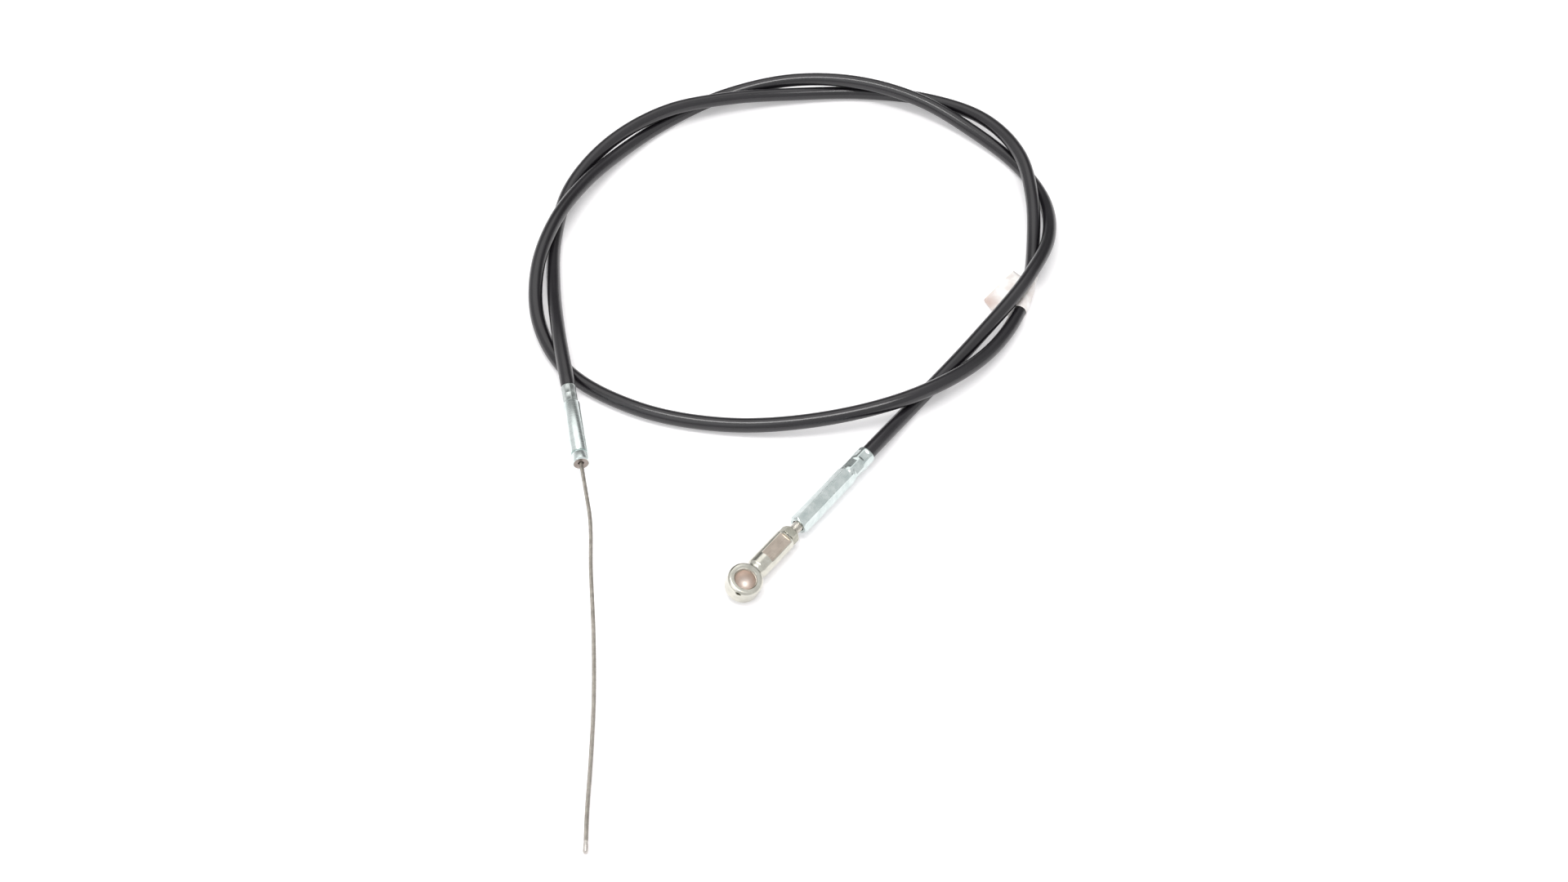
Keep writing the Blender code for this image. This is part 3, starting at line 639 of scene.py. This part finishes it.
def make_engine_ferrule():
    steps = 96
    collar, barrel, hole, mouth = ENGINE_COLLAR_RADIUS, ENGINE_RADIUS, WIRE_HOLE, ENGINE_MOUTH
    groove = barrel - ENGINE_GROOVE_DEPTH
    crimp = np.minimum(collar, polygon_radius(around(steps), *ENGINE_CRIMP))
    stations = [
        (0.0, 2.85), (0.0, 3.20), (0.12, collar - 0.05), (0.3, collar), (1.0, collar),
        (1.6, crimp), (4.9, crimp), (5.5, collar), (5.9, collar), (6.5, crimp), (9.4, crimp),
        (9.9, collar), (10.3, collar), (ENGINE_COLLAR, collar - 0.22), (10.65, collar - 0.22),
        (10.75, collar + 0.1), (11.1, barrel - 0.1), (11.4, barrel), (26.0, barrel),
        (41.35, barrel), (41.55, barrel - 0.08), (41.6, groove), (42.6, groove),
        (42.65, barrel - 0.08), (42.85, barrel), (46.9, barrel), (47.4, barrel - 0.42),
        (ENGINE_NOSE, barrel - 0.55), (ENGINE_NOSE, mouth + 0.1), (47.4, mouth), (47.15, hole),
        (30.0, hole), (8.3, hole), (8.3, 2.85),
    ]
    mesh = solid_from_rings("engine_ferrule", axis_rings(stations, steps, engine_frame))
    bright = metal("engine_zinc", ENGINE_ZINC, 0.24, TURNED)
    dull = metal("engine_collar_zinc", COLLAR_ZINC, 0.33, DRAWN)
    cut = metal("engine_nose_steel", NOSE_STEEL, 0.34, TURNED)
    ferrule = add_object("engine_ferrule_turned", mesh, bright)

    def choose(spot, normal):
        if spot.x < ENGINE_COLLAR + 0.2:
            return 1
        inside = hypot(spot.y, spot.z) < mouth + 0.05
        return 2 if normal.x > 0.9 and spot.x > ENGINE_NOSE - 0.2 or inside else 0

    paint(ferrule, engine_frame, [dull, cut], choose)
    bind(ferrule, "conduit", "engine_ferrule")


# The bare wire

def append_tube(work, rings):
    """Adds a capped tube to a mesh under construction."""
    spots = [[work.verts.new(p) for p in ring] for ring in rings]
    steps = len(spots[0])
    for a, b in zip(spots, spots[1:]):
        for j in range(steps):
            m = (j + 1) % steps
            work.faces.new((a[j], b[j], b[m], a[m])).smooth = True
    work.faces.new(list(reversed(spots[0])))
    work.faces.new(spots[-1])


def make_bare_wire():
    start = engine_frame @ Vector(((ENGINE_NOSE - WIRE_START_DEPTH) * MM, 0, 0))
    leave = engine_frame @ Vector(((ENGINE_NOSE + WIRE_STRAIGHT) * MM, 0, 0))
    last = (Vector(BARE_ROUTE[-1]) - Vector(BARE_ROUTE[-2])).normalized()
    bend = smooth_line([tuple(leave)] + BARE_ROUTE, ENGINE_OUT, last, CURVE_STEPS)
    straight = [np.array(start.lerp(leave, k / 12)) for k in range(12)]
    line = np.vstack([straight, bend])
    total = running(line)[-1]
    line = resample(line, 0.0, total, 340)
    side, up = side_and_up(line)
    turn = WIRE_RADIUS - STRAND_RADIUS
    work = bmesh.new()
    for k in range(STRANDS):
        spin = 2 * pi * (k / STRANDS - running(line) / (STRAND_LAY * MM))
        out = np.cos(spin)[:, None] * side + np.sin(spin)[:, None] * up
        append_tube(work, tube_rings(line + turn * MM * out, STRAND_RADIUS, 6))
    append_tube(work, tube_rings(line, turn - 0.02, 10))
    mesh = bpy.data.meshes.new("bare_wire_strands")
    work.to_mesh(mesh)
    work.free()
    steel = wire_metal("strand_steel", STRAND_STEEL)
    wire = add_object("bare_wire_strands", mesh, steel, 60.0)
    bind(wire, "engine_wire", "bare_wire")
    stations = [
        (0.05, 0.80), (0.05, 0.92), (0.9, 0.90), (1.2, 0.99), (1.6, 1.05), (4.5, 1.05),
        (5.0, 0.93), (5.25, 0.65), (5.3, 0.2),
    ]
    rings = axis_rings(stations, 32, fitting_matrix(Vector(line[-1]), last, 0.0))
    fused = add_object(
        "wire_end", solid_from_rings("wire_end", rings, closed=False),
        wire_metal("fused_steel", FUSED_STEEL), 40.0,
    )
    bind(fused, "engine_wire", "wire_tip")


# The lever-end fitting

def make_lever_ferrule():
    steps = 144
    angle = around(steps)
    turned = UPRIGHT + pi / 6
    hexagon = polygon_radius(angle, BARREL_FLAT, 6, UPRIGHT, 130.0)
    first = np.minimum(COLLAR_RADIUS, polygon_radius(angle, CRIMP_FLATS[0], 6, UPRIGHT, 160.0))
    second = np.minimum(COLLAR_RADIUS, polygon_radius(angle, CRIMP_FLATS[1], 6, turned, 160.0))
    whole = np.full(steps, COLLAR_RADIUS)
    stations = [(0.0, JACKET_POCKET), (0.0, 4.15), (0.12, 4.38), (0.35, COLLAR_RADIUS)]
    for x in np.arange(CRIMPS[0][0], COLLAR_LENGTH - 0.3, 0.25):
        flats, (start, end) = (first, CRIMPS[0]) if x < CRIMP_SPLIT else (second, CRIMPS[1])
        stations.append((x, blend(whole, flats, min(x - start, end - x) / CRIMP_EDGE)))
    for x in np.arange(COLLAR_LENGTH - 0.2, 16.7, 0.25):
        stations.append((x, blend(whole, hexagon, (x - COLLAR_LENGTH + 0.2) / 1.9)))
    ridge = UPRIGHT - pi / 6
    for x in np.arange(16.9, BARREL_END - 1.2, 0.5):
        ring = hexagon.copy()
        for mark, shift, depth in BARREL_NICKS:
            near = np.exp(-(((x - mark) / 0.45) ** 2))
            dent = np.exp(-(((angle - ridge - shift) / 0.15) ** 2))
            ring = ring - depth * near * dent
        stations.append((x, ring))
    for back in (BARREL_CHAMFER, 0.8, 0.5, 0.25, 0.1, 0.0):
        cone = BARREL_CORNER - (BARREL_CHAMFER - back) * 0.75
        stations.append((BARREL_END - back, np.minimum(hexagon, cone)))
    stations += [
        (BARREL_END, FERRULE_BORE + 0.15), (BARREL_END - 0.15, FERRULE_BORE),
        (30.0, FERRULE_BORE), (SHOULDER_END, FERRULE_BORE), (SHOULDER_END, WIRE_HOLE),
        (SHOULDER_START, WIRE_HOLE), (SHOULDER_START, JACKET_POCKET), (6.0, JACKET_POCKET),
    ]
    mesh = solid_from_rings("lever_ferrule", axis_rings(stations, steps, lever_frame))
    zinc = metal("lever_zinc", LEVER_ZINC, 0.22, DRAWN, 0.07)
    ferrule = add_object("lever_ferrule_swaged", mesh, zinc, 22.0)
    bind(ferrule, "conduit", "lever_ferrule")


def thread_radius(x, angle, outer, depth, pitch):
    """Radius of a screw thread at a place along the rod, for each angle round it."""
    phase = (x / pitch - angle / (2 * pi)) % 1.0
    ridge = 1.0 - np.abs(2 * phase - 1.0)
    return outer - depth * (1.0 - np.clip(ridge * 1.25, 0.0, 1.0))


def make_rod():
    steps = 36
    plain = np.full(steps, ROD_RADIUS - 0.08)
    stations = [(ROD_TAIL, 0.6), (ROD_TAIL, 2.1), (ROD_TAIL + 0.3, 2.4)]
    stations.append((THREAD_START - 0.5, plain))
    for x in np.arange(THREAD_START, ROD_END, 0.1):
        thread = thread_radius(x, around(steps), ROD_RADIUS - 0.02, THREAD_DEPTH, THREAD_PITCH)
        stations.append((x, blend(plain, thread, (x - THREAD_START) / 1.5)))
    stations += [(ROD_END, 2.0), (ROD_END, 0.6)]
    mesh = solid_from_rings("pull_rod", axis_rings(stations, steps, lever_frame), closed=False)
    steel = metal("rod_steel", ROD_STEEL, 0.30, THREADED)
    rod = add_object("pull_rod_threaded", mesh, steel, 45.0)
    bind(rod, "lever_end", "pull_rod")


def make_nut():
    steps = 144
    hexagon = polygon_radius(around(steps), NUT_FLAT, 6, UPRIGHT, 200.0)
    stations = []
    for x in np.linspace(NUT_START, NUT_END, 21):
        edge = min(x - NUT_START, NUT_END - x)
        stations.append((x, np.minimum(hexagon, NUT_FLAT + 0.02 + edge * 1.55)))
    stations += [
        (NUT_END, 2.95), (NUT_END - 0.4, 2.56), (NUT_START + 0.4, 2.56), (NUT_START, 2.95),
    ]
    mesh = solid_from_rings("lock_nut", axis_rings(stations, steps, lever_frame))
    steel = metal("nut_steel", NUT_STEEL, 0.29, MILLED)
    nut = add_object("lock_nut_hex", mesh, steel, 25.0)
    bind(nut, "lever_end", "lock_nut")


def boolean(made, cutter, operation):
    step = made.modifiers.new(operation, "BOOLEAN")
    step.operation = operation
    step.solver = "EXACT"
    step.object = cutter


def applied(made):
    """Makes the result of the modifiers the object's own mesh."""
    graph = bpy.context.evaluated_depsgraph_get()
    mesh = bpy.data.meshes.new_from_object(made.evaluated_get(graph))
    made.modifiers.clear()
    made.data = mesh
    return made


def rounded(side):
    """Softened chamfer at the head's edge, from the middle outwards on the lower side (-1) and
    inwards on the upper one (1)."""
    outline = [
        (0.0, HEAD_CHAMFER + 0.22), (0.05, HEAD_CHAMFER + 0.04), (0.11, HEAD_CHAMFER - 0.08),
        (HEAD_CHAMFER - 0.13, 0.16), (HEAD_CHAMFER, 0.06), (HEAD_CHAMFER + 0.25, 0.0),
    ]
    pairs = [(side * (HEAD_TOP - down), HEAD_RADIUS - back) for down, back in outline]
    return pairs if side < 0 else list(reversed(pairs))


def shank_stations(steps):
    angle = around(steps)
    whole = np.full(steps, SHANK_RADIUS)
    flats = np.minimum(SHANK_RADIUS, WRENCH_FLAT / np.maximum(np.abs(np.sin(angle)), 1e-3))
    stations = [(SHANK_START, 0.01), (SHANK_START, 4.38), (SHANK_START + 0.12, 4.58),
                (SHANK_START + 0.5, 4.94), (SHANK_START + 0.7, whole), (SHANK_START + 1.0, whole)]
    for x, share in ((1.12, 0.4), (1.3, 1.0), (14.7, 1.0), (14.88, 0.6), (15.0, 0.0)):
        stations.append((SHANK_START + x, blend(whole, flats, share)))
    neck = HEAD_CENTRE - HEAD_RADIUS
    for x in np.linspace(neck - NECK_TAPER - 0.3, neck, 9):
        share = (x - neck + NECK_TAPER) / NECK_TAPER
        stations.append((x, blend(SHANK_RADIUS, NECK_RADIUS, share)))
    return stations + [(HEAD_CENTRE - 5.6, NECK_RADIUS), (HEAD_CENTRE - 5.6, 0.01)]


def seat_stations():
    ring_low, ring_high = RING_HEIGHT - GROOVE_HALF_WIDTH, RING_HEIGHT + GROOVE_HALF_WIDTH
    stations = [
        (HEAD_TOP + 1.0, 0.01), (HEAD_TOP + 1.0, MOUTH_RADIUS + 1.5),
        (HEAD_TOP - 0.42, MOUTH_RADIUS + 0.08), (HEAD_TOP - 0.55, MOUTH_RADIUS),
        (ring_high, MOUTH_RADIUS), (ring_high, GROOVE_RADIUS), (ring_low, GROOVE_RADIUS),
    ]
    low = ring_low - SEAT_CENTRE
    for k in range(25):
        height = low + (-SEAT_RADIUS - low) * sin(pi / 2 * k / 24)
        radius = sqrt(max(SEAT_RADIUS**2 - height**2, 1e-4))
        stations.append((SEAT_CENTRE + height, radius))
    return stations


def make_socket():
    head_frame = (
        lever_frame @ Matrix.Translation((HEAD_CENTRE * MM, 0, 0))
        @ Matrix.Rotation(-pi / 2, 4, "Y")
    )
    clip_frame = (
        lever_frame @ Matrix.Translation((HEAD_CENTRE * MM, 0, 0))
        @ Matrix.Rotation(CLIP_TURN, 4, "Z") @ Matrix.Translation((0, 0, RING_HEIGHT * MM))
        @ Matrix.Diagonal((1.0, 1.3, 0.8, 1.0))
    )
    profile = [(-HEAD_TOP, 0.01)] + rounded(-1) + rounded(1) + [(HEAD_TOP, 0.01)]
    hole = [
        (SHANK_START - 1, 0.01), (SHANK_START - 1, 4.0), (SHANK_START + 0.35, BORE_RADIUS),
        (ROD_END + 0.3, BORE_RADIUS), (ROD_END + 0.3, 0.01),
    ]
    clip = [
        (HEAD_RADIUS - 3.2, 0.01), (HEAD_RADIUS - 3.2, 1.0), (HEAD_RADIUS - 0.35, 1.0),
        (HEAD_RADIUS - 0.1, 1.12), (HEAD_RADIUS + 0.4, 1.55), (HEAD_RADIUS + 0.4, 0.01),
    ]
    steel = metal("socket_steel", SOCKET_STEEL, 0.19, TURNED, 0.10)
    # Darker, browner steel for the wrench flats: painted shade, with a rougher gloss
    shaded_flat_steel = metal("wrench_flat_shaded_steel", WRENCH_FLAT_SHADED_STEEL, 0.29, DRAWN)
    seat_steel = metal("seat_steel", SEAT_STEEL, 0.50, TURNED)

    def turned(name, stations, steps, matrix):
        rings = axis_rings(stations, steps, matrix)
        return add_object(name, solid_from_rings(name, rings, closed=False), steel, 35.0)

    head = turned("ball_socket_forged", profile, 128, head_frame)
    tools = [
        (turned("shank_tool", shank_stations(128), 128, lever_frame), "UNION"),
        (turned("bore_tool", hole, 64, lever_frame), "DIFFERENCE"),
        (turned("seat_tool", seat_stations(), 96, head_frame), "DIFFERENCE"),
        (turned("clip_tool", clip, 32, clip_frame), "DIFFERENCE"),
    ]
    for tool, operation in tools:
        boolean(head, tool, operation)
    applied(head)
    for tool, _ in tools:
        bpy.data.objects.remove(tool)
    for polygon in head.data.polygons:
        polygon.use_smooth = True
    head.data.set_sharp_from_angle(angle=radians(28))
    even = head.modifiers.new("normals", "WEIGHTED_NORMAL")
    even.keep_sharp = True
    applied(head)
    head.data.materials.clear()
    head.data.materials.append(steel)

    def choose(spot, normal):
        out = hypot(spot.x - HEAD_CENTRE, spot.y)
        if out < GROOVE_RADIUS + 0.05 and 0.5 - HEAD_TOP < spot.z < HEAD_TOP - 0.6:
            return 2
        # Faces on the wrench flats get the darker steel, which is painted shade
        on_shank = spot.x < SHANK_START + 15
        return 1 if on_shank and abs(normal.z) > 0.97 and abs(spot.z) < WRENCH_FLAT + 0.05 else 0

    paint(head, lever_frame, [shaded_flat_steel, seat_steel], choose)
    bind(head, "lever_end", "ball_socket")


def make_ring():
    count = 121
    angle = CLIP_TURN + RING_OPENING / 2 + (2 * pi - RING_OPENING) * np.linspace(0, 1, count)
    local = np.column_stack([
        HEAD_CENTRE + RING_RADIUS * np.cos(angle), RING_RADIUS * np.sin(angle),
        np.full(count, RING_HEIGHT),
    ]) * MM
    turn = np.array(lever_frame)
    radius = np.full(count, RING_WIRE)
    radius[[0, -1]] -= 0.1
    rings = tube_rings(local @ turn[:3, :3].T + turn[:3, 3], radius, 16)
    steel = metal("ring_steel", RING_STEEL, 0.28, COILED)
    mesh = solid_from_rings("snap_ring", rings, closed=False)
    ring = add_object("snap_ring_wire", mesh, steel, 50.0)
    bind(ring, "lever_end", "snap_ring")


# The label

def flag_point(start, far, share, lift):
    """Point of the flag at a share of the way from the jacket to its outer edge."""
    spot = start * (1 - share) + far * share
    rise = (FLAG_HEIGHT + FLAG_RISE * share * share) * MM
    spot[2] = start[2] * (1 - share) ** 2 + rise * (1 - (1 - share) ** 2) + lift * MM
    return spot


def make_label():
    rows, reach, turns = 27, 16, 40
    line = resample(route_line, LABEL_START * MM, (LABEL_START + LABEL_LENGTH) * MM, rows)
    side, up = side_and_up(line)
    wrap = (JACKET_RADIUS + LABEL_GAP) * MM
    middle = (line[0] + line[-1]) / 2
    ahead = line[-1] - line[0]
    ahead[2] = 0
    ahead /= np.linalg.norm(ahead)
    inward = np.array([ahead[1], -ahead[0], 0.0])
    outer = np.array(FLAG_EDGE) * MM
    lengths = running(outer)
    grid = []
    for i in range(rows):
        at = i / (rows - 1) * lengths[-1]
        edge = [np.interp(at, lengths, outer[:, k]) for k in range(2)]
        far = middle + ahead * edge[0] + inward * edge[1]
        start = line[i] - wrap * up[i]
        row = [flag_point(start, far, 1 - k / reach, FLAG_HALF_GAP) for k in range(reach)]
        for k in range(turns + 1):
            angle = 2 * pi * k / turns - pi / 2
            row.append(line[i] + wrap * (np.cos(angle) * side[i] + np.sin(angle) * up[i]))
        row += [flag_point(start, far, k / reach, -FLAG_HALF_GAP) for k in range(1, reach + 1)]
        grid.append(row)
    grid = np.array(grid)
    grid[:, :, 2] = np.maximum(grid[:, :, 2], LOWEST * MM)
    mesh = bpy.data.meshes.new("label_tape")
    work = bmesh.new()
    spots = [[work.verts.new(p) for p in row] for row in grid]
    for a, b in zip(spots, spots[1:]):
        for j in range(len(a) - 1):
            work.faces.new((a[j], a[j + 1], b[j + 1], b[j])).smooth = True
    work.to_mesh(mesh)
    work.free()
    label = add_object("label_tape", mesh, tape(), 60.0)
    thick = label.modifiers.new("thickness", "SOLIDIFY")
    thick.thickness = TAPE_THICKNESS * MM
    thick.offset = 0.0
    applied(label)
    bind(label, "conduit", "label")


def dress_inner_pieces():
    """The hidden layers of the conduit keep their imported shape."""
    spiral = metal("spiral_steel", SPIRAL_STEEL, 0.38, DRAWN)
    liner = Surface("liner_plastic")
    cloud = liner.noise(liner.object, 300.0)
    liner.feed(liner.tones(cloud, LINER_TONES), "Base Color")
    liner.shader.inputs["Roughness"].default_value = 0.45
    wire = wire_metal("hidden_wire_steel", HIDDEN_WIRE_STEEL)
    for node, looks in (
        ("conduit_winding", spiral), ("conduit_liner", liner.material), ("inner_wire", wire),
    ):
        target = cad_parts[node]
        if target.material_slots:
            target.material_slots[0].material = looks
        else:
            target.data.materials.append(looks)


make_camera()
for lamp in LAMPS:
    area_light(*lamp)
make_world()
make_floor()
make_jacket()
make_bare_wire()
make_engine_ferrule()
make_lever_ferrule()
make_rod()
make_nut()
make_socket()
make_ring()
make_label()
dress_inner_pieces()

bpy.context.scene.view_settings.view_transform = "Standard"
